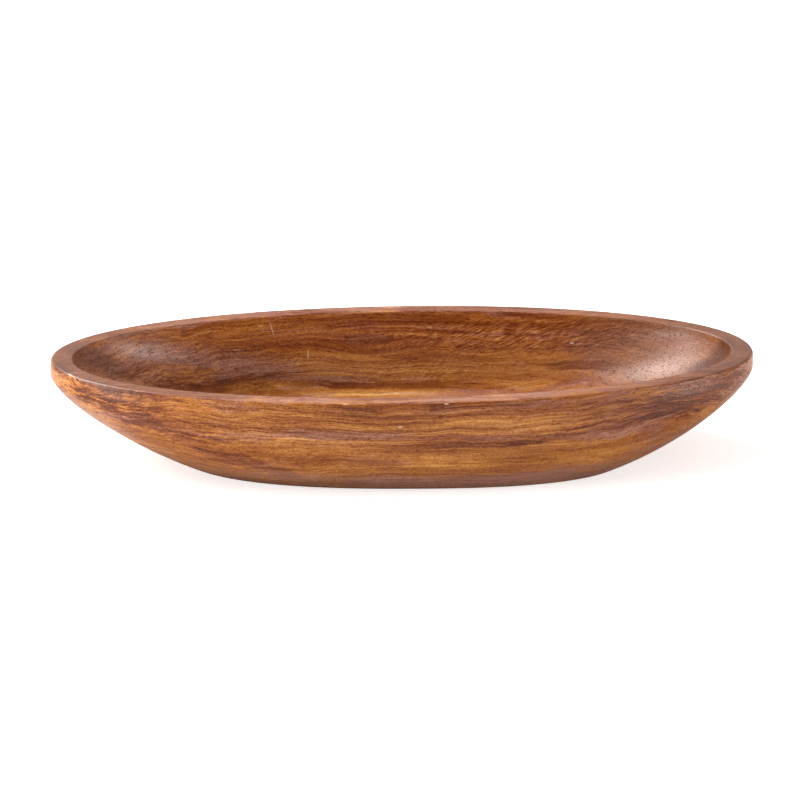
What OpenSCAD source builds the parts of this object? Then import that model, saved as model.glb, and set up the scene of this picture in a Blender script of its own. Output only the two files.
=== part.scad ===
// Long oval serving dish, carved from one piece of wood.
// The origin is the middle of the flat underside. +X runs along the dish and +Z is up.

/* [Rim] */
// Length over the rim
length = 305; // [240:1:380]
// Width over the rim
width = 152; // [120:1:190]
// Height of the rim above the table
height = 44; // [34:0.5:60]
// Fullness of the rim's oval, where 2 is a true ellipse and more is boxier
rim_fullness = 2.06; // [2:0.02:2.6]
// Radius of the rim's outer edge
outer_edge_r = 1.6; // [0.6:0.1:3]
// Radius of the rim's inner edge
inner_edge_r = 0.8; // [0.3:0.1:2]

/* [Foot] */
// Length of the flat underside
foot_length = 192; // [130:1:200]
// Width of the flat underside
foot_width = 110; // [70:1:115]
// Fullness of the underside's oval
foot_fullness = 2.5; // [2:0.05:3.2]

/* [Outside] */
// How far below the rim's rounded edge the ends stay upright
end_upright = 4.7; // [0:0.1:10]
// How the ends then come in, where 1 is a straight slope to the foot and more is rounder
end_curve = 1.44; // [1.3:0.02:3]
// How long the sides stay upright below the rim before they turn under
side_curve = 4; // [2:0.1:6]

/* [Hollow] */
// How the hollow's ends slope in from the rim, where 1 is straight and more is rounder
hollow_end_curve = 1.6; // [1.3:0.05:2]
// Thickness of the wall, square to its face
wall = 9.5; // [6:0.5:12]
// Thickness of the wood under the hollow
floor_thickness = 9; // [6:0.5:13]
// How late the wall turns into the floor, where more is a tighter turn
floor_turn = 6; // [4:0.5:10]
// How flat the middle of the floor is
floor_flatness = 3; // [2:0.25:4]

/* [Smoothness] */
// Points around the dish
segments = 96; // [48:8:112]

/* [Hidden] */

half_length = length / 2;
half_width = width / 2;
// What each end and each side comes in by, from the rim to the foot
end_sweep = (length - foot_length) / 2;
side_sweep = (width - foot_width) / 2;
hollow_depth = height - floor_thickness;
// The outside is at its fullest here, where the rim's edge starts to round
shoulder = height - outer_edge_r;
// The ends start to come in here
end_shoulder = shoulder - end_upright;

// Rows of points on each stretch of the section, from the foot over the rim to the hollow's floor
side_rows = 13;
edge_rows = 4;
lip_rows = 3;
hollow_rows = 15;
// The carved form runs on this far below the table, and the foot is then cut flat
foot_trim = 1.5;
quarter_turn = 90;
full_turn = 360;

function signed_power(base, exponent) = sign(base) * pow(abs(base), exponent);

// How far a level lies below the height where a wall starts to come in, from 0 there to 1 at the foot
function drop(z, start) = max(0, start - z) / start;

// Half of the length or width at a level, where sweep is what it comes in by from the start to the foot
function reach(half, sweep, curve, start, z) = half - sweep * pow(drop(z, start), curve);
function fullness(z) = rim_fullness + (foot_fullness - rim_fullness) * drop(z, shoulder);

// Level width of a wall of the set thickness where it leans in, from the lean's slope
function level_wall(sweep, curve, start, z) =
    wall * sqrt(1 + pow(sweep * curve * pow(drop(z, start), curve - 1) / start, 2));

// One level ring of points, an oval between an ellipse and a rectangle
function oval(half_l, half_w, n, z) = [
    for (i = [0:segments - 1])
        let (a = full_turn * i / segments)
        [half_l * signed_power(cos(a), 2 / n), half_w * signed_power(sin(a), 2 / n), z]
];

// A ring on the outside, drawn in by inset
function outside_ring(z, inset) =
    let (
        half_l = reach(half_length, end_sweep, end_curve, end_shoulder, z),
        half_w = reach(half_width, side_sweep, side_curve, shoulder, z)
    )
    oval(half_l - inset, half_w - inset, fullness(z), z);

// A ring inside the wall, where close is 1 beside the wall and nears 0 at the middle of the floor
function hollow_ring(z, flare, close) =
    let (
        end_wall = level_wall(end_sweep, hollow_end_curve, shoulder, z),
        side_wall = level_wall(side_sweep, side_curve, shoulder, z),
        half_l = reach(half_length, end_sweep, hollow_end_curve, shoulder, z) - end_wall,
        half_w = reach(half_width, side_sweep, side_curve, shoulder, z) - side_wall
    )
    oval(half_l * close + flare, half_w * close + flare, fullness(z), z);

// Outside from below the foot to where the rim's edge starts to round, closer together at the foot
function side_rings() = [
    for (i = [0:side_rows])
        let (rise = 1 - sin(quarter_turn * (1 - i / side_rows)))
        outside_ring(-foot_trim + rise * (shoulder + foot_trim), 0)
];

// The rounded outer edge of the rim, up to its flat top
function edge_rings() = [
    for (i = [1:edge_rows])
        let (a = quarter_turn * i / edge_rows)
        outside_ring(shoulder + outer_edge_r * sin(a), outer_edge_r * (1 - cos(a)))
];

// The rounded inner edge of the rim, from its flat top down
function lip_rings() = [
    for (i = [0:lip_rows])
        let (a = quarter_turn * i / lip_rows)
        hollow_ring(height - inner_edge_r * (1 - cos(a)), inner_edge_r * (1 - sin(a)), 1)
];

// The hollow's wall and floor, whose section turns from one into the other in one smooth curve
function hollow_rings() = [
    for (i = [1:hollow_rows])
        let (
            a = quarter_turn * pow(i / (hollow_rows + 1), 2),
            depth = inner_edge_r + (hollow_depth - inner_edge_r) * pow(sin(a), 2 / floor_turn)
        )
        hollow_ring(height - depth, 0, pow(cos(a), 2 / floor_flatness))
];

// Joins a stack of rings into one closed skin, with a flat first face and a point at the middle of the last
module skin(rings, tip) {
    rows = len(rings);
    points = [for (ring = rings) each ring, tip];
    first_face = [for (i = [0:segments - 1]) i];
    bands = [
        for (r = [0:rows - 2])
            for (i = [0:segments - 1])
                let (
                    next = (i + 1) % segments,
                    low = r * segments,
                    high = low + segments
                )
                each [
                    [low + i, high + next, low + next],
                    [low + i, high + i, high + next]
                ]
    ];
    last = (rows - 1) * segments;
    fan = [for (i = [0:segments - 1]) [last + (i + 1) % segments, last + i, rows * segments]];
    polyhedron(points, concat([first_face], bands, fan));
}

// The carved form, with its hollow, before the foot is cut flat
module carved_form() {
    rings = concat(side_rings(), edge_rings(), lip_rings(), hollow_rings());
    skin(rings, [0, 0, floor_thickness]);
}

module dish() {
    color([0.55, 0.33, 0.18])
        difference() {
            carved_form();
            translate([-length, -width, -2 * foot_trim])
                cube([2 * length, 2 * width, 2 * foot_trim]);
        }
}

dish();
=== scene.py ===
import math

import bpy
from mathutils import Matrix, Vector
from mathutils.bvhtree import BVHTree


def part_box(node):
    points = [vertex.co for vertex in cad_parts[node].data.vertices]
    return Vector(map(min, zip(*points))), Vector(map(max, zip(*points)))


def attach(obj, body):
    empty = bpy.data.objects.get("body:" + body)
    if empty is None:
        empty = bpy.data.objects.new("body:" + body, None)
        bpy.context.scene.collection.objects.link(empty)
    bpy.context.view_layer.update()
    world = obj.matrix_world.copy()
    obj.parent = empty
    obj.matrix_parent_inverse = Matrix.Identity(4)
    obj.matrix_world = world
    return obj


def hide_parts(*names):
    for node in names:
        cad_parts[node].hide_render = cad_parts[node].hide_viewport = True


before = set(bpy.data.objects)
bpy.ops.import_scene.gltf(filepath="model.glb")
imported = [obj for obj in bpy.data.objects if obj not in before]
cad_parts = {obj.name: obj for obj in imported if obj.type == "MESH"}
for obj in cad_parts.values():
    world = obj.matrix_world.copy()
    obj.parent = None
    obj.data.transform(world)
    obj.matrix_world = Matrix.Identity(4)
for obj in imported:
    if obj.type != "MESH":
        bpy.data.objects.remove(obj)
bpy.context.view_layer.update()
dish_low, dish_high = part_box("dish")

MM = 0.001
METRE_IN_MM = 1000.0

# Overall size of the dish, from the frame
HALF_LENGTH = (dish_high.x - dish_low.x) / 2
HALF_WIDTH = (dish_high.y - dish_low.y) / 2
HEIGHT = dish_high.z - dish_low.z

# Form of the outside, in metres
FOOT_HALF_LENGTH = 96 * MM
FOOT_HALF_WIDTH = 55 * MM
RIM_FULLNESS = 2.06
FOOT_FULLNESS = 2.5
END_UPRIGHT = 4.7 * MM
END_CURVE = 1.44
SIDE_CURVE = 4.0
OUTER_EDGE_R = 1.6 * MM
INNER_EDGE_R = 0.8 * MM

# The foot of the photographed dish was carved slightly turned under its rim
FOOT_TURN = math.radians(-4.7)

# Form of the hollow, in metres
HOLLOW_END_CURVE = 1.6
WALL = 9.5 * MM
FLOOR_THICKNESS = 9 * MM
FLOOR_TURN = 6.0
FLOOR_FLATNESS = 3.0

# Fineness of the mesh
ROUND_STEPS = 288
SIDE_ROWS = 60
EDGE_ROWS = 8
LIP_ROWS = 6
HOLLOW_ROWS = 84
FOOT_ROWS = 6

# The photo's camera, found from the outline and the inner edge of the rim
IMAGE_SIZE = 800
CAMERA_DISTANCE = 20 * HALF_LENGTH
CAMERA_ELEVATION = math.radians(15.95)
CAMERA_YAW = math.radians(10.4)
CAMERA_ROLL = math.radians(-1.43)
HALF_LENGTH_PIXELS = 355.3
RIM_CENTRE_PIXEL = (404.0, 353.1)
SENSOR_MM = 36.0
CLIP_END = 100.0

# Broad streaks of the wood, read off the photo, in its pixels.
# Each has the ends of its middle line, its half thickness, how much lighter it is and how much more purple.
STREAKS = {
    "gold_below_rim_left": ((120, 398), (300, 414), 9, 0.05, -0.3),
    "orange_spot_below_rim": ((385, 411), (428, 409), 5, 0.16, -0.4),
    "brown_below_rim": ((320, 407), (480, 405), 4, -0.12, 0.0),
    "purple_flecks_left": ((195, 435), (285, 438), 6, -0.05, 0.45),
    "purple_flecks_middle": ((280, 432), (430, 434), 6, -0.05, 0.4),
    "dark_band_middle": ((385, 445), (540, 442), 4, -0.17, 0.2),
    "dark_band_rising": ((520, 442), (700, 409), 6, -0.14, 0.3),
    "dark_branch_rising": ((560, 424), (720, 390), 5, -0.09, 0.3),
    "gold_low_left": ((180, 446), (390, 453), 6, 0.10, -0.3),
    "gold_low_middle": ((385, 460), (500, 464), 8, 0.15, -0.2),
    "gold_low_right": ((535, 461), (640, 448), 6, 0.12, -0.3),
    "warm_front_upper": ((190, 420), (470, 421), 15, -0.06, -0.5),
    "orange_left_end": ((62, 386), (170, 408), 11, -0.16, -0.2),
    "mauve_left_end": ((90, 412), (210, 436), 5, -0.04, 0.6),
    # Darker here is painted shade; purpler is the wood's own colour
    "purple_and_shaded_right_end": ((640, 412), (748, 372), 20, -0.23, 0.7),
    "mauve_back_rim_left": ((300, 310.8), (385, 309.0), 8, -0.12, 0.6),
    "mauve_back_rim_middle": ((385, 309.0), (480, 308.8), 8, -0.15, 0.6),
    "mauve_back_rim_right": ((480, 308.8), (575, 311.4), 8, -0.12, 0.6),
    # Paler and purpler along the foot: a painted reflection of the white floor
    "floor_reflection_foot_left": ((240, 473), (340, 480), 6, 0.12, 0.8),
    "floor_reflection_foot_middle": ((340, 480), (450, 481), 6, 0.12, 0.8),
    "floor_reflection_foot_right": ((450, 481), (580, 475), 6, 0.08, 0.6),
    "floor_reflection_foot": ((222, 472), (600, 465), 12, 0.2, 1.0),
    "dark_left_tip": ((53, 363), (76, 379), 5, -0.25, 0.3),
    "dark_below_left_rim": ((76, 379), (122, 392), 4, -0.22, 0.2),
    "dark_below_rim": ((122, 392), (190, 402), 3, -0.16, 0.2),
    # Darker under the left end towards its lower edge: painted shade, with purpler wood
    "shade_under_left_tip": ((74, 391), (200, 444), 8, -0.15, 0.3),
    "shade_under_left": ((200, 449), (300, 476), 7, -0.1, 0.5),
    "dark_inner_left_low": ((110, 373), (190, 386), 8, -0.12, 0.2),
    "gold_inner_top_left": ((228, 328), (275, 324), 6, 0.1, -0.3),
    "dark_inner_top": ((300, 325), (400, 322), 8, -0.06, 0.2),
    "purple_inner_top": ((340, 338), (392, 338), 6, -0.1, 0.9),
    "gold_line_inner": ((296, 352), (400, 361), 4, 0.14, -0.4),
    "mauve_inner_left": ((130, 350), (290, 362), 14, 0.03, 0.6),
    "gold_wedge_inner": ((225, 388), (300, 384), 7, 0.08, -0.4),
    "dark_line_inner_left": ((188, 386), (292, 373), 4, -0.14, 0.1),
    "gold_inner_low": ((285, 394), (480, 393), 6, 0.19, -0.4),
    "dark_line_inner_low": ((320, 385), (480, 384), 5, -0.13, 0.1),
    "dark_inner_right_low": ((545, 366), (640, 364), 6, -0.14, 0.3),
    "gold_inner_right": ((490, 356), (570, 355), 5, 0.08, -0.4),
    "orange_inner_right": ((560, 345), (645, 347), 5, -0.08, 0.3),
    # The next two paint the sheen at the right inner end: purpler where it shows, a painted sheen tint, and
    # lighter where it is brightest, a painted highlight
    "sheen_tint_inner_right_back": ((635, 333), (712, 345), 12, 0.0, 0.6),
    "painted_sheen_inner_right_floor": ((636, 368), (678, 368), 10, 0.08, 0.5),
    "lighter_hollow": ((250, 358), (560, 358), 26, 0.05, 0.0),
    "brown_inner_right": ((500, 338), (640, 335), 14, -0.08, 0.2),
    "mauve_inner_back": ((240, 335), (520, 335), 20, 0.06, 0.35),
    "brown_right_front": ((560, 420), (660, 405), 14, -0.06, 0.2),
    "dark_inner_back": ((400, 322), (500, 328), 10, -0.05, 0.1),
}
STREAK_DEPTH = 14 * MM

# Painted shade at the ends of the hollow, as soft dark areas given in the same way, with their strength
PAINTED_SHADES = {
    "right_tip": ((724, 339), (728, 352), 8, 0.85),
    "right_end": ((725, 350), (713, 361), 9, 0.85),
    "right_edge": ((714, 363), (690, 369.5), 6, 0.85),
    "left_tip": ((75, 352), (80, 362), 9, 0.5),
    "left_end": ((84, 356), (122, 370), 11, 0.5),
}


def display(red, green, blue):
    """A colour given as it shows on screen, 0 to 255, as the linear values that a shader takes."""
    linear = []
    for value in (red, green, blue):
        share = value / 255
        linear.append(share / 12.92 if share <= 0.04045 else ((share + 0.055) / 1.055) ** 2.4)
    return (*linear, 1.0)


PALE_MARK = display(228, 196, 170)
DARK_MARK = display(70, 40, 24)
# The colour of the painted shade at the ends of the hollow
PAINTED_SHADE_COLOUR = display(80, 41, 18)

# Scratches, specks and nicks, in the photo's pixels, with their half thickness, strength and colour
MARKS = {
    "scratch_back_left": ((270, 323), (274, 336), 0.7, 0.5, PALE_MARK),
    "scratch_back_middle": ((308, 350), (308, 358), 0.8, 0.55, PALE_MARK),
    "speck_inner_left": ((259, 326), (262, 326), 0.8, 0.55, PALE_MARK),
    "speck_inner_low_left": ((234, 350), (239, 350), 0.7, 0.35, PALE_MARK),
    "speck_inner_back": ((429, 327), (431, 327), 0.8, 0.55, PALE_MARK),
    "speck_inner_right": ((571, 343), (573, 343), 0.9, 0.65, PALE_MARK),
    "speck_rim_left": ((343, 404.5), (347, 404.5), 0.7, 0.45, PALE_MARK),
    "speck_rim_middle": ((445, 404), (448, 404), 0.8, 0.65, PALE_MARK),
    "speck_front": ((398, 427), (402, 427), 0.8, 0.55, PALE_MARK),
    # A pale speck at the left end: a painted glint
    "glint_left_end": ((68.5, 374), (73, 376.5), 1.1, 0.5, PALE_MARK),
    "nick_back_rim": ((668, 320.5), (676, 321.5), 0.9, 0.7, DARK_MARK),
    "line_inner_left": ((146, 349), (152, 349), 0.9, 0.7, DARK_MARK),
}
MARK_DEPTH = 2 * MM

# Places where the growth layers bend, in the photo's pixels.
# Each has the ends of its middle line, its half thickness, and how far the lines sag, in mm.
BENDS = {
    "sagging_lines_inner_back": ((330, 352), (400, 352), 20, 4.0),
    "arched_lines_inner_left": ((255, 384), (320, 384), 14, -3.0),
    "rising_lines_right_end": ((640, 425), (700, 405), 22, -3.0),
}

# Places where short strokes rise across the grain, in the photo's pixels, with their half thickness
# and strength.
HATCHES = {
    "hatched_inner_back": ((410, 336), (640, 336), 22, 1.1),
    "hatched_inner_floor": ((350, 374), (470, 374), 10, 0.4),
    "hatched_left_end": ((72, 392), (170, 412), 12, 0.7),
}
HATCH_RISE = math.radians(24)
STROKE_SIZE = (4.5, 3, 0.6)

# Where each kind of place starts to show and where it shows fully, counted from its middle line
# with 1 at its half thickness.
STREAK_FADE = (1.15, 0.45)
PAINTED_SHADE_FADE = (1.5, 0.4)
MARK_FADE = (1.4, 0.5)
BEND_FADE = (1.3, 0.0)
HATCH_FADE = (1.3, 0.4)
BREAKUP = 0.9

# How the fibres wander: the patch sizes along X, Y and Z, the detail, and how far they sway, in mm
WANDERINGS = {
    "drift": ((110, 45, 45), 2.0, (0.0, 14.0, 14.0)),
    "ripple": ((12, 9, 9), 1.0, (0.0, 2.2, 2.2)),
}

# Patterns of the grain: the patch sizes along X, Y and Z in mm, the detail, and how strongly
# each makes the wood lighter and darker.
PATTERNS = {
    "band": ((260, 30, 8), 2.0, 0.45),
    "line": ((130, 12, 1.5), 2.0, 0.64),
    "fibre": ((45, 2.6, 0.62), 1.0, 0.55),
    "fine": ((1.3, 0.6, 0.4), 1.0, 0.55),
    "curl": ((9, 20, 9), 2.0, 0.1),
}
MIDDLE_TONE = 0.49
CALM_REACH = (0.0, 0.6)
CALM_STRENGTH = 0.64

# Pores, in mm and in shares of their own cell
PORE_SIZE = (6.5, 1.3, 1.1)
PORE_FADE = (0.34, 0.14)
PORE_TONE = -0.15

# Purple patches and flecks, with their sizes in mm
HUE_SIZE = (120, 18, 8)
HUE_FADE = (0.5, 0.68)
FLECK_SIZE = (14, 3, 1.1)
FLECK_STRENGTH = 1.6

# The inner ends of the hollow, found by how far they lean towards the middle
INNER_END_FADE = (-0.08, -0.36)
INNER_END_PURPLE = 0.5
RIGHT_FADE = (0.0, 0.5)
# The right inner end is darker, a painted shade, and duller towards a grey brown, a painted tint of its
# sheen
INNER_RIGHT_SHADE_TONE = -0.14
INNER_RIGHT_SHEEN_TINT = display(132, 100, 74)
INNER_RIGHT_SHEEN_SHARE = 0.27

# The flat top of the rim, lighter and purpler as a painted sheen, and greying towards its two ends
RIM_FADE = (0.6 * MM, 0.2 * MM)
RIM_SHEEN_TONE = 0.13
RIM_SHEEN_PURPLE = 0.5
RIM_END_TONE = -0.36
RIM_END_COLOUR = display(127, 93, 78)
RIM_END_SHARE = 0.5

# Colours of the wood from dark to light, warm and purple
WARM_WOOD = [
    (0.10, display(84, 32, 4)),
    (0.30, display(123, 60, 10)),
    (0.47, display(153, 88, 33)),
    (0.66, display(187, 121, 56)),
    (0.80, display(210, 148, 76)),
    (0.95, display(232, 178, 108)),
]
PURPLE_WOOD = [
    (0.10, display(80, 34, 10)),
    (0.30, display(117, 57, 24)),
    (0.47, display(142, 87, 64)),
    (0.66, display(172, 118, 94)),
    (0.80, display(196, 142, 112)),
    (0.95, display(218, 168, 136)),
]

# The oiled surface
GRIT_SIZE = (0.9, 0.5, 0.5)
GRIT_HEIGHT = 0.8
FIBRE_HEIGHT = 0.8
PORE_HEIGHT = -1.0
BUMP_DISTANCE = 0.15 * MM
BUMP_STRENGTH = 0.5
ROUGHNESS = 0.26
PORE_ROUGHNESS = 0.1
FIBRE_ROUGHNESS = 0.2
SPECULAR_LEVEL = 0.3

# Strength of the white room, what a reflection of it adds, and the white floor.
# The floor lies just under the foot, so that the two faces never share a plane.
ROOM_LIGHT = 0.41
ROOM_REFLECTION = 0.03
FLOOR_REACH = 8.0
FLOOR_GAP = 0.1 * MM
FLOOR_COLOUR = (0.9, 0.9, 0.9, 1.0)
FLOOR_GLOW = 0.62
WHITE = (1, 1, 1, 1)

# Soft boxes: azimuth and elevation in degrees, distance, width and depth in metres, and radiance
LAMPS = {
    "window_back_left": (129, 49, 2.2, 1.3, 0.75, 18.0),
    "window_front_left": (-164, 11, 2.4, 1.15, 0.6, 19.0),
    "window_side": (172, 37, 2.3, 0.8, 0.6, 15.0),
    "window_right": (-20, 11, 2.4, 0.72, 0.65, 19.0),
}

END_SWEEP = HALF_LENGTH - FOOT_HALF_LENGTH
SIDE_SWEEP = HALF_WIDTH - FOOT_HALF_WIDTH
SHOULDER = HEIGHT - OUTER_EDGE_R
END_SHOULDER = SHOULDER - END_UPRIGHT
HOLLOW_DEPTH = HEIGHT - FLOOR_THICKNESS
QUARTER = math.pi / 2
CENTRED = (-0.5, -0.5, -0.5)
FOCAL_PIXELS = HALF_LENGTH_PIXELS * CAMERA_DISTANCE / HALF_LENGTH
PIXEL = HALF_LENGTH / HALF_LENGTH_PIXELS


def photo_frame():
    """The photo's camera, aimed so that the middle of the rim lands on its pixel."""
    back = Vector((-math.sin(CAMERA_YAW) * math.cos(CAMERA_ELEVATION),
                   -math.cos(CAMERA_YAW) * math.cos(CAMERA_ELEVATION),
                   math.sin(CAMERA_ELEVATION)))
    right = Vector((math.cos(CAMERA_YAW), -math.sin(CAMERA_YAW), 0.0))
    up = back.cross(right)
    turned_right = right * math.cos(CAMERA_ROLL) - up * math.sin(CAMERA_ROLL)
    turned_up = right * math.sin(CAMERA_ROLL) + up * math.cos(CAMERA_ROLL)
    facing = Matrix((turned_right, turned_up, back)).transposed()
    across = math.atan((RIM_CENTRE_PIXEL[0] - IMAGE_SIZE / 2) / FOCAL_PIXELS)
    down = math.atan((IMAGE_SIZE / 2 - RIM_CENTRE_PIXEL[1]) / FOCAL_PIXELS)
    aim = Matrix.Rotation(across, 3, "Y") @ Matrix.Rotation(-down, 3, "X")
    rim_centre = Vector((0.0, 0.0, dish_high.z))
    return Matrix.Translation(rim_centre + back * CAMERA_DISTANCE) @ (facing @ aim).to_4x4()


def lift(tree, pixel):
    """The point of the dish that shows at a pixel of the photo."""
    frame_matrix = photo_frame()
    ray = Vector((pixel[0] - IMAGE_SIZE / 2, IMAGE_SIZE / 2 - pixel[1], -FOCAL_PIXELS)).normalized()
    point = tree.ray_cast(frame_matrix.translation, frame_matrix.to_3x3() @ ray)[0]
    if point is None:
        raise ValueError(f"no part of the dish shows at {pixel}")
    return point


def signed_power(base, exponent):
    return math.copysign(abs(base) ** exponent, base)


def drop(z, start):
    """How far a level lies below the height where a wall starts to come in, 1 at the foot."""
    return max(0.0, start - z) / start


def reach(half, sweep, curve, start, z):
    """Half of the length or width at a level, where sweep is what it comes in by from start to foot."""
    return half - sweep * drop(z, start) ** curve


def fullness(z):
    """The exponent of the oval at a level, which grows towards the foot."""
    return RIM_FULLNESS + (FOOT_FULLNESS - RIM_FULLNESS) * drop(z, SHOULDER)


def level_wall(sweep, curve, start, z):
    """The wall measured level, where the side leans outwards."""
    slope = sweep * curve * drop(z, start) ** (curve - 1) / start
    return WALL * math.sqrt(1 + slope ** 2)


def oval(half_length, half_width, exponent, z):
    """One ring of points. The exponent is 2 for an ellipse and more for a fuller oval."""
    ring = []
    for step in range(ROUND_STEPS):
        angle = 2 * math.pi * step / ROUND_STEPS
        x = half_length * signed_power(math.cos(angle), 2 / exponent)
        y = half_width * signed_power(math.sin(angle), 2 / exponent)
        ring.append(Vector((x, y, z)))
    return ring


def outside_ring(z, inset=0.0):
    """The outside at a level. Its turn grows towards the foot."""
    half_length = reach(HALF_LENGTH, END_SWEEP, END_CURVE, END_SHOULDER, z)
    half_width = reach(HALF_WIDTH, SIDE_SWEEP, SIDE_CURVE, SHOULDER, z)
    turn = Matrix.Rotation(FOOT_TURN * drop(z, SHOULDER) ** 2, 3, "Z")
    return [turn @ p for p in oval(half_length - inset, half_width - inset, fullness(z), z)]


def hollow_ring(z, flare=0.0, close=1.0):
    """The hollow at a level, widened by flare at the lip and narrowed by close towards its floor."""
    end_wall = level_wall(END_SWEEP, HOLLOW_END_CURVE, SHOULDER, z)
    side_wall = level_wall(SIDE_SWEEP, SIDE_CURVE, SHOULDER, z)
    half_length = reach(HALF_LENGTH, END_SWEEP, HOLLOW_END_CURVE, SHOULDER, z) - end_wall
    half_width = reach(HALF_WIDTH, SIDE_SWEEP, SIDE_CURVE, SHOULDER, z) - side_wall
    return oval(half_length * close + flare, half_width * close + flare, fullness(z), z)


def foot_rings():
    foot = outside_ring(0.0)
    return [[Vector((p.x * row / FOOT_ROWS, p.y * row / FOOT_ROWS, 0.0)) for p in foot]
            for row in range(1, FOOT_ROWS)]


def side_rings():
    return [outside_ring(SHOULDER * (1 - math.sin(QUARTER * (1 - row / SIDE_ROWS))))
            for row in range(SIDE_ROWS + 1)]


def edge_rings():
    rings = []
    for row in range(1, EDGE_ROWS + 1):
        angle = QUARTER * row / EDGE_ROWS
        rings.append(outside_ring(SHOULDER + OUTER_EDGE_R * math.sin(angle),
                                  OUTER_EDGE_R * (1 - math.cos(angle))))
    return rings


def lip_rings():
    rings = []
    for row in range(LIP_ROWS + 1):
        angle = QUARTER * row / LIP_ROWS
        rings.append(hollow_ring(HEIGHT - INNER_EDGE_R * (1 - math.cos(angle)),
                                 INNER_EDGE_R * (1 - math.sin(angle))))
    return rings


def hollow_rings():
    rings = []
    for row in range(1, HOLLOW_ROWS + 1):
        angle = QUARTER * (row / (HOLLOW_ROWS + 1)) ** 2
        depth = INNER_EDGE_R + (HOLLOW_DEPTH - INNER_EDGE_R) * math.sin(angle) ** (2 / FLOOR_TURN)
        rings.append(hollow_ring(HEIGHT - depth, close=math.cos(angle) ** (2 / FLOOR_FLATNESS)))
    return rings


def dish_mesh():
    """The carved form as one closed skin, from the middle of the foot to the middle of the hollow."""
    rings = foot_rings() + side_rings() + edge_rings() + lip_rings() + hollow_rings()
    points = [p for ring in rings for p in ring]
    faces = []
    for row in range(len(rings) - 1):
        for step in range(ROUND_STEPS):
            a = row * ROUND_STEPS + step
            b = row * ROUND_STEPS + (step + 1) % ROUND_STEPS
            faces.append((a, b, b + ROUND_STEPS, a + ROUND_STEPS))
    foot_middle = len(points)
    points.append(Vector((0.0, 0.0, 0.0)))
    hollow_middle = len(points)
    points.append(Vector((0.0, 0.0, FLOOR_THICKNESS)))
    last = (len(rings) - 1) * ROUND_STEPS
    for step in range(ROUND_STEPS):
        after = (step + 1) % ROUND_STEPS
        faces.append((foot_middle, after, step))
        faces.append((hollow_middle, last + step, last + after))
    mesh = bpy.data.meshes.new("carved_dish")
    mesh.from_pydata([p[:] for p in points], [], faces)
    mesh.shade_smooth()
    return mesh


class Nodes:
    """Short calls that add the nodes of one material."""

    def __init__(self, data):
        data.use_nodes = True
        self.tree = data.node_tree
        self.tree.nodes.clear()

    def add(self, kind, inputs=None, **settings):
        node = self.tree.nodes.new(kind)
        for name, value in settings.items():
            setattr(node, name, value)
        for key, value in (inputs or {}).items():
            if isinstance(value, bpy.types.NodeSocket):
                self.tree.links.new(value, node.inputs[key])
            else:
                node.inputs[key].default_value = value
        return node

    def math(self, operation, a, b=0.0, c=0.0):
        return self.add("ShaderNodeMath", {0: a, 1: b, 2: c}, operation=operation).outputs[0]

    def scaled(self, vector, factors):
        return self.add("ShaderNodeVectorMath", {0: vector, 1: factors}, operation="MULTIPLY").outputs[0]

    def moved(self, vector, offset):
        return self.add("ShaderNodeVectorMath", {0: vector, 1: offset}, operation="ADD").outputs[0]

    def shrunk(self, vector, sizes):
        """Places counted in patches of these sizes along X, Y and Z."""
        return self.scaled(vector, tuple(1 / size for size in sizes))

    def noise(self, vector, sizes, detail):
        """Soft noise with patches of these sizes."""
        return self.add("ShaderNodeTexNoise", {"Vector": self.shrunk(vector, sizes), "Scale": 1.0,
                                               "Detail": detail, "Roughness": 0.5})

    def separated(self, vector, axis):
        return self.add("ShaderNodeSeparateXYZ", {0: vector}).outputs[axis]

    def step(self, value, start, end):
        """0 at start and 1 at end, with a smooth way between."""
        return self.add("ShaderNodeMapRange", {0: value, 1: start, 2: end, 3: 0.0, 4: 1.0},
                        interpolation_type="SMOOTHSTEP").outputs[0]

    def between(self, value, low, high):
        """A value of 0 to 1 spread from low to high."""
        return self.add("ShaderNodeMapRange", {0: value, 1: 0.0, 2: 1.0, 3: low, 4: high}).outputs[0]

    def mix(self, share, a, b):
        node = self.add("ShaderNodeMix", data_type="RGBA")
        for key, value in ((0, share), (6, a), (7, b)):
            if isinstance(value, bpy.types.NodeSocket):
                self.tree.links.new(value, node.inputs[key])
            else:
                node.inputs[key].default_value = value
        return node.outputs[2]

    def ramp(self, value, stops):
        node = self.add("ShaderNodeValToRGB", {0: value})
        elements = node.color_ramp.elements
        while len(elements) < len(stops):
            elements.new(0.5)
        for element, (position, colour) in zip(elements, stops):
            element.position = position
            element.color = colour
        return node.outputs[0]


def place_streak(n, place, centre, axes, half_sizes):
    """How far a point is from the middle of a long soft lens, 1 at its surface."""
    local = n.add("ShaderNodeMapping", {"Vector": place, "Location": centre, "Scale": half_sizes,
                                        "Rotation": axes.to_euler()}, vector_type="TEXTURE").outputs[0]
    return n.add("ShaderNodeVectorMath", {0: local}, operation="LENGTH").outputs["Value"]


def streak_frame(tree, start, end, half_thickness, half_depth=STREAK_DEPTH):
    """Middle, axes and half sizes of a streak whose ends are given in the photo's pixels."""
    first, last = lift(tree, start), lift(tree, end)
    along = (last - first).normalized()
    view = photo_frame().to_3x3().col[2]
    depth = (view - along * view.dot(along)).normalized()
    across = depth.cross(along)
    thickness = half_thickness * PIXEL
    axes = Matrix((along, across, depth)).transposed()
    return (first + last) / 2, axes, ((last - first).length / 2 + thickness, thickness, half_depth)


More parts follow.
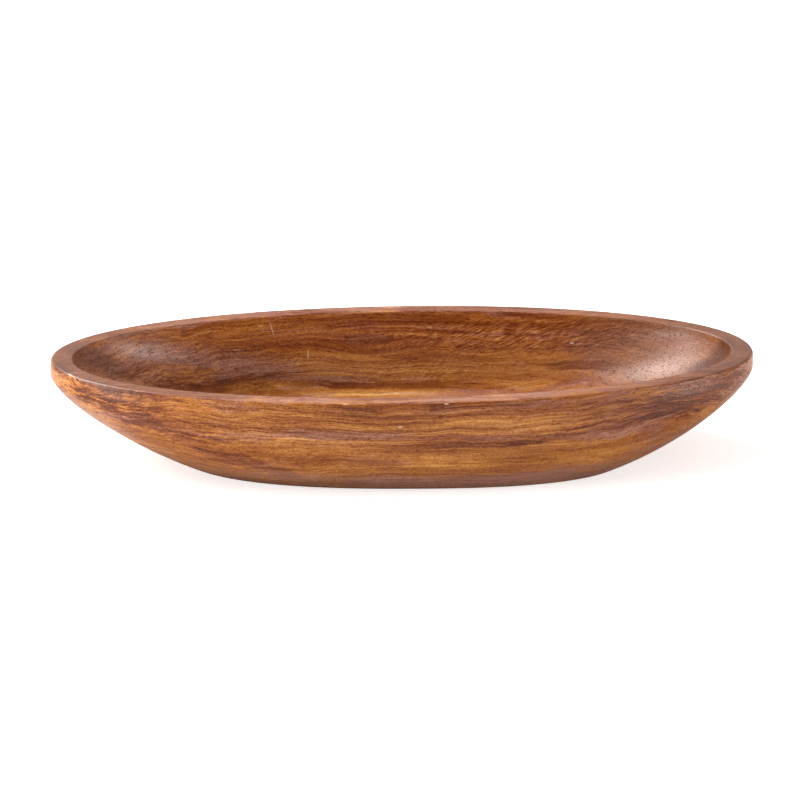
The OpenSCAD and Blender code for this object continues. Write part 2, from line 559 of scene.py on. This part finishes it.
def placed_streaks(n, tree, place, breakup, tone, purple):
    """Adds the photo's broad streaks to how light and how purple the wood is."""
    for start, end, half_thickness, lighter, more_purple in STREAKS.values():
        far = place_streak(n, place, *streak_frame(tree, start, end, half_thickness))
        mask = n.step(n.math("ADD", far, breakup), *STREAK_FADE)
        tone = n.math("MULTIPLY_ADD", mask, lighter, tone)
        purple = n.math("MULTIPLY_ADD", mask, more_purple, purple)
    return tone, purple


def placed_painted_shades(n, tree, place, colour):
    """Adds the painted shade at the ends of the hollow, as soft dark areas."""
    for start, end, half_thickness, strength in PAINTED_SHADES.values():
        far = place_streak(n, place, *streak_frame(tree, start, end, half_thickness))
        share = n.math("MULTIPLY", n.step(far, *PAINTED_SHADE_FADE), strength)
        colour = n.mix(share, colour, PAINTED_SHADE_COLOUR)
    return colour


def placed_marks(n, tree, place, colour):
    """Adds the small scratches, specks and nicks of the photographed dish."""
    for start, end, half_thickness, strength, mark_colour in MARKS.values():
        far = place_streak(n, place, *streak_frame(tree, start, end, half_thickness, MARK_DEPTH))
        share = n.math("MULTIPLY", n.step(far, *MARK_FADE), strength)
        colour = n.mix(share, colour, mark_colour)
    return colour


def placed_bends(n, tree, place, grain):
    """Moves the grain up or down where the photo shows its lines sag or arch."""
    for start, end, half_thickness, sag in BENDS.values():
        far = place_streak(n, place, *streak_frame(tree, start, end, half_thickness))
        push = n.math("MULTIPLY", n.step(far, *BEND_FADE), sag)
        grain = n.moved(grain, n.add("ShaderNodeCombineXYZ", {"Z": push}).outputs[0])
    return grain


def placed_hatches(n, tree, place, pattern, tone):
    """Adds the short rising strokes where the photo shows them."""
    for start, end, half_thickness, strength in HATCHES.values():
        far = place_streak(n, place, *streak_frame(tree, start, end, half_thickness))
        share = n.math("MULTIPLY", n.step(far, *HATCH_FADE), strength)
        tone = n.math("MULTIPLY_ADD", share, n.math("SUBTRACT", pattern, 0.5), tone)
    return tone


def wandering_grain(n, tree, metres, place):
    """Places measured along the fibres, in mm, so that no line of the grain runs quite straight."""
    grain = place
    for sizes, detail, sway in WANDERINGS.values():
        wave = n.noise(place, sizes, detail).outputs["Color"]
        grain = n.moved(grain, n.scaled(n.moved(wave, CENTRED), sway))
    return placed_bends(n, tree, metres, grain)


def grain_tone(n, patterns, pore, length_share):
    """How light the wood is from its grain and pores, with a calmer grain towards the right end."""
    tone = -0.5 * sum(weight for sizes, detail, weight in PATTERNS.values())
    for name, (sizes, detail, weight) in PATTERNS.items():
        tone = n.math("MULTIPLY_ADD", patterns[name], weight, tone)
    calm = n.between(n.step(length_share, *CALM_REACH), 1.0, CALM_STRENGTH)
    tone = n.math("MULTIPLY_ADD", tone, calm, MIDDLE_TONE)
    return n.math("MULTIPLY_ADD", pore, PORE_TONE, tone)


def grain_purple(n, grain):
    """How purple the wood is, in broad patches and in flecks."""
    hue = n.noise(grain, HUE_SIZE, 2.0).outputs[0]
    fleck = n.noise(grain, FLECK_SIZE, 1.0).outputs[0]
    patches = n.math("SUBTRACT", n.step(hue, *HUE_FADE), FLECK_STRENGTH / 2)
    return n.math("MULTIPLY_ADD", fleck, FLECK_STRENGTH, patches)


def inner_end_masks(n, length_share):
    """1 on both inner ends of the hollow, and 1 on its right inner end only."""
    lean = n.separated(n.add("ShaderNodeTexCoord").outputs["Normal"], "X")
    inner_end = n.step(n.math("MULTIPLY", lean, length_share), *INNER_END_FADE)
    return inner_end, n.math("MULTIPLY", inner_end, n.step(length_share, *RIGHT_FADE))


def rim_masks(n, metres, length_share):
    """1 on the flat top of the rim, and the same rising to 1 at its two ends."""
    start, full = (dish_high.z - depth for depth in RIM_FADE)
    rim = n.step(n.separated(metres, "Z"), start, full)
    return rim, n.math("MULTIPLY", rim, n.math("MULTIPLY", length_share, length_share))


def rising_strokes(n, place):
    """Short strokes that rise towards the right."""
    tilted = n.add("ShaderNodeVectorRotate", {"Vector": place, "Angle": HATCH_RISE},
                   rotation_type="Y_AXIS").outputs[0]
    return n.noise(tilted, STROKE_SIZE, 1.0).outputs[0]


def finish_wood(n, place, fibre, pore, colour):
    """The satin oil finish, with fine relief from fibres, pores and grit."""
    grit = n.math("MULTIPLY", n.noise(place, GRIT_SIZE, 2.0).outputs[0], GRIT_HEIGHT)
    relief = n.math("MULTIPLY_ADD", pore, PORE_HEIGHT, n.math("MULTIPLY_ADD", fibre, FIBRE_HEIGHT, grit))
    bump = n.add("ShaderNodeBump", {"Height": relief, "Strength": BUMP_STRENGTH,
                                    "Distance": BUMP_DISTANCE}).outputs[0]
    pore_roughness = n.math("MULTIPLY_ADD", pore, PORE_ROUGHNESS, ROUGHNESS)
    roughness = n.math("MULTIPLY_ADD", fibre, FIBRE_ROUGHNESS, pore_roughness)
    shader = n.add("ShaderNodeBsdfPrincipled", {"Base Color": colour, "Roughness": roughness,
                                                "Specular IOR Level": SPECULAR_LEVEL, "Normal": bump})
    n.add("ShaderNodeOutputMaterial", {"Surface": shader.outputs[0]})


def carved_wood(tree):
    """Brown hardwood with fibres along the dish: bands, flecks, pores, painted shade and sheen, and a satin
    oil finish.
    """
    material = bpy.data.materials.new("carved_wood")
    n = Nodes(material)
    metres = n.add("ShaderNodeTexCoord").outputs["Object"]
    place = n.scaled(metres, (METRE_IN_MM,) * 3)
    grain = wandering_grain(n, tree, metres, place)
    patterns = {name: n.noise(grain, sizes, detail).outputs[0]
                for name, (sizes, detail, weight) in PATTERNS.items()}
    pores = n.add("ShaderNodeTexVoronoi", {"Vector": n.shrunk(grain, PORE_SIZE), "Scale": 1.0})
    pore = n.step(pores.outputs["Distance"], *PORE_FADE)
    length_share = n.math("DIVIDE", n.separated(metres, "X"), HALF_LENGTH)

    tone = grain_tone(n, patterns, pore, length_share)
    purple = grain_purple(n, grain)
    breakup = n.math("MULTIPLY_ADD", n.math("ADD", patterns["line"], patterns["fibre"]), BREAKUP, -BREAKUP)
    tone, purple = placed_streaks(n, tree, metres, breakup, tone, purple)
    inner_end, inner_right = inner_end_masks(n, length_share)
    # Painted shade on the right inner end
    tone = n.math("MULTIPLY_ADD", inner_right, INNER_RIGHT_SHADE_TONE, tone)
    purple = n.math("MULTIPLY_ADD", inner_end, INNER_END_PURPLE, purple)
    tone = placed_hatches(n, tree, metres, rising_strokes(n, place), tone)
    rim, rim_end = rim_masks(n, metres, length_share)
    # Painted sheen on the flat top of the rim
    tone = n.math("MULTIPLY_ADD", rim, RIM_SHEEN_TONE, tone)
    tone = n.math("MULTIPLY_ADD", rim_end, RIM_END_TONE, tone)
    purple = n.math("MULTIPLY_ADD", rim, RIM_SHEEN_PURPLE, purple)
    purple = n.add("ShaderNodeClamp", {0: purple}).outputs[0]

    colour = n.mix(purple, n.ramp(tone, WARM_WOOD), n.ramp(tone, PURPLE_WOOD))
    # Painted tint of the sheen on the right inner end
    colour = n.mix(n.math("MULTIPLY", inner_right, INNER_RIGHT_SHEEN_SHARE), colour, INNER_RIGHT_SHEEN_TINT)
    # Painted shade at the ends of the hollow
    colour = placed_painted_shades(n, tree, metres, colour)
    colour = n.mix(n.math("MULTIPLY", rim_end, RIM_END_SHARE), colour, RIM_END_COLOUR)
    colour = placed_marks(n, tree, metres, colour)
    finish_wood(n, place, patterns["fibre"], pore, colour)
    return material


def make_dish():
    dish = bpy.data.objects.new("carved_dish", dish_mesh())
    bpy.context.scene.collection.objects.link(dish)
    tree = BVHTree.FromPolygons([v.co for v in dish.data.vertices], [p.vertices for p in dish.data.polygons])
    dish.data.materials.append(carved_wood(tree))
    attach(dish, "root")
    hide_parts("dish")


def make_floor():
    """A plain white floor. Seen by the camera it is lifted to white, and keeps a faint shadow."""
    mesh = bpy.data.meshes.new("floor")
    mesh.from_pydata([(-FLOOR_REACH, -FLOOR_REACH, 0), (FLOOR_REACH, -FLOOR_REACH, 0),
                      (FLOOR_REACH, FLOOR_REACH, 0), (-FLOOR_REACH, FLOOR_REACH, 0)],
                     [], [(0, 1, 2, 3)])
    floor = bpy.data.objects.new("floor", mesh)
    bpy.context.scene.collection.objects.link(floor)
    floor.location.z = dish_low.z - FLOOR_GAP
    material = bpy.data.materials.new("floor_white")
    n = Nodes(material)
    diffuse = n.add("ShaderNodeBsdfDiffuse", {"Color": FLOOR_COLOUR}).outputs[0]
    seen = n.add("ShaderNodeLightPath").outputs["Is Camera Ray"]
    glow = n.add("ShaderNodeEmission", {"Color": WHITE, "Strength": n.math("MULTIPLY", seen, FLOOR_GLOW)})
    both = n.add("ShaderNodeAddShader", {0: diffuse, 1: glow.outputs[0]}).outputs[0]
    n.add("ShaderNodeOutputMaterial", {"Surface": both})
    mesh.materials.append(material)


def make_world():
    """An even white room, which the camera sees as pure white."""
    world = bpy.data.worlds.new("white_room")
    bpy.context.scene.world = world
    n = Nodes(world)
    path = n.add("ShaderNodeLightPath").outputs
    mirrored = n.math("MULTIPLY_ADD", path["Is Glossy Ray"], ROOM_REFLECTION, ROOM_LIGHT)
    strength = n.math("MAXIMUM", path["Is Camera Ray"], mirrored)
    background = n.add("ShaderNodeBackground", {"Color": WHITE, "Strength": strength})
    n.add("ShaderNodeOutputWorld", {"Surface": background.outputs[0]})


def make_lamp(name, azimuth, elevation, distance, width, depth, radiance):
    """A soft box that faces the dish. Azimuth 0 is +X and 90 is +Y, in degrees."""
    lamp = bpy.data.lights.new(name, "AREA")
    lamp.shape = "RECTANGLE"
    lamp.size = width
    lamp.size_y = depth
    lamp.energy = radiance * math.pi * width * depth
    holder = bpy.data.objects.new(name, lamp)
    bpy.context.scene.collection.objects.link(holder)
    turn, rise = math.radians(azimuth), math.radians(elevation)
    away = Vector((math.cos(turn) * math.cos(rise), math.sin(turn) * math.cos(rise), math.sin(rise)))
    holder.location = away * distance
    holder.rotation_euler = away.to_track_quat("Z", "Y").to_euler()


def make_camera():
    """The photo's camera, with its focal length and place."""
    camera = bpy.data.cameras.new("photo_camera")
    camera.sensor_width = SENSOR_MM
    camera.lens = SENSOR_MM * FOCAL_PIXELS / IMAGE_SIZE
    camera.clip_end = CLIP_END
    holder = bpy.data.objects.new("photo_camera", camera)
    bpy.context.scene.collection.objects.link(holder)
    holder.matrix_world = photo_frame()
    bpy.context.scene.camera = holder


make_camera()
make_world()
for lamp_name, lamp_settings in LAMPS.items():
    make_lamp(lamp_name, *lamp_settings)
make_floor()
make_dish()
bpy.context.scene.view_settings.view_transform = "Standard"
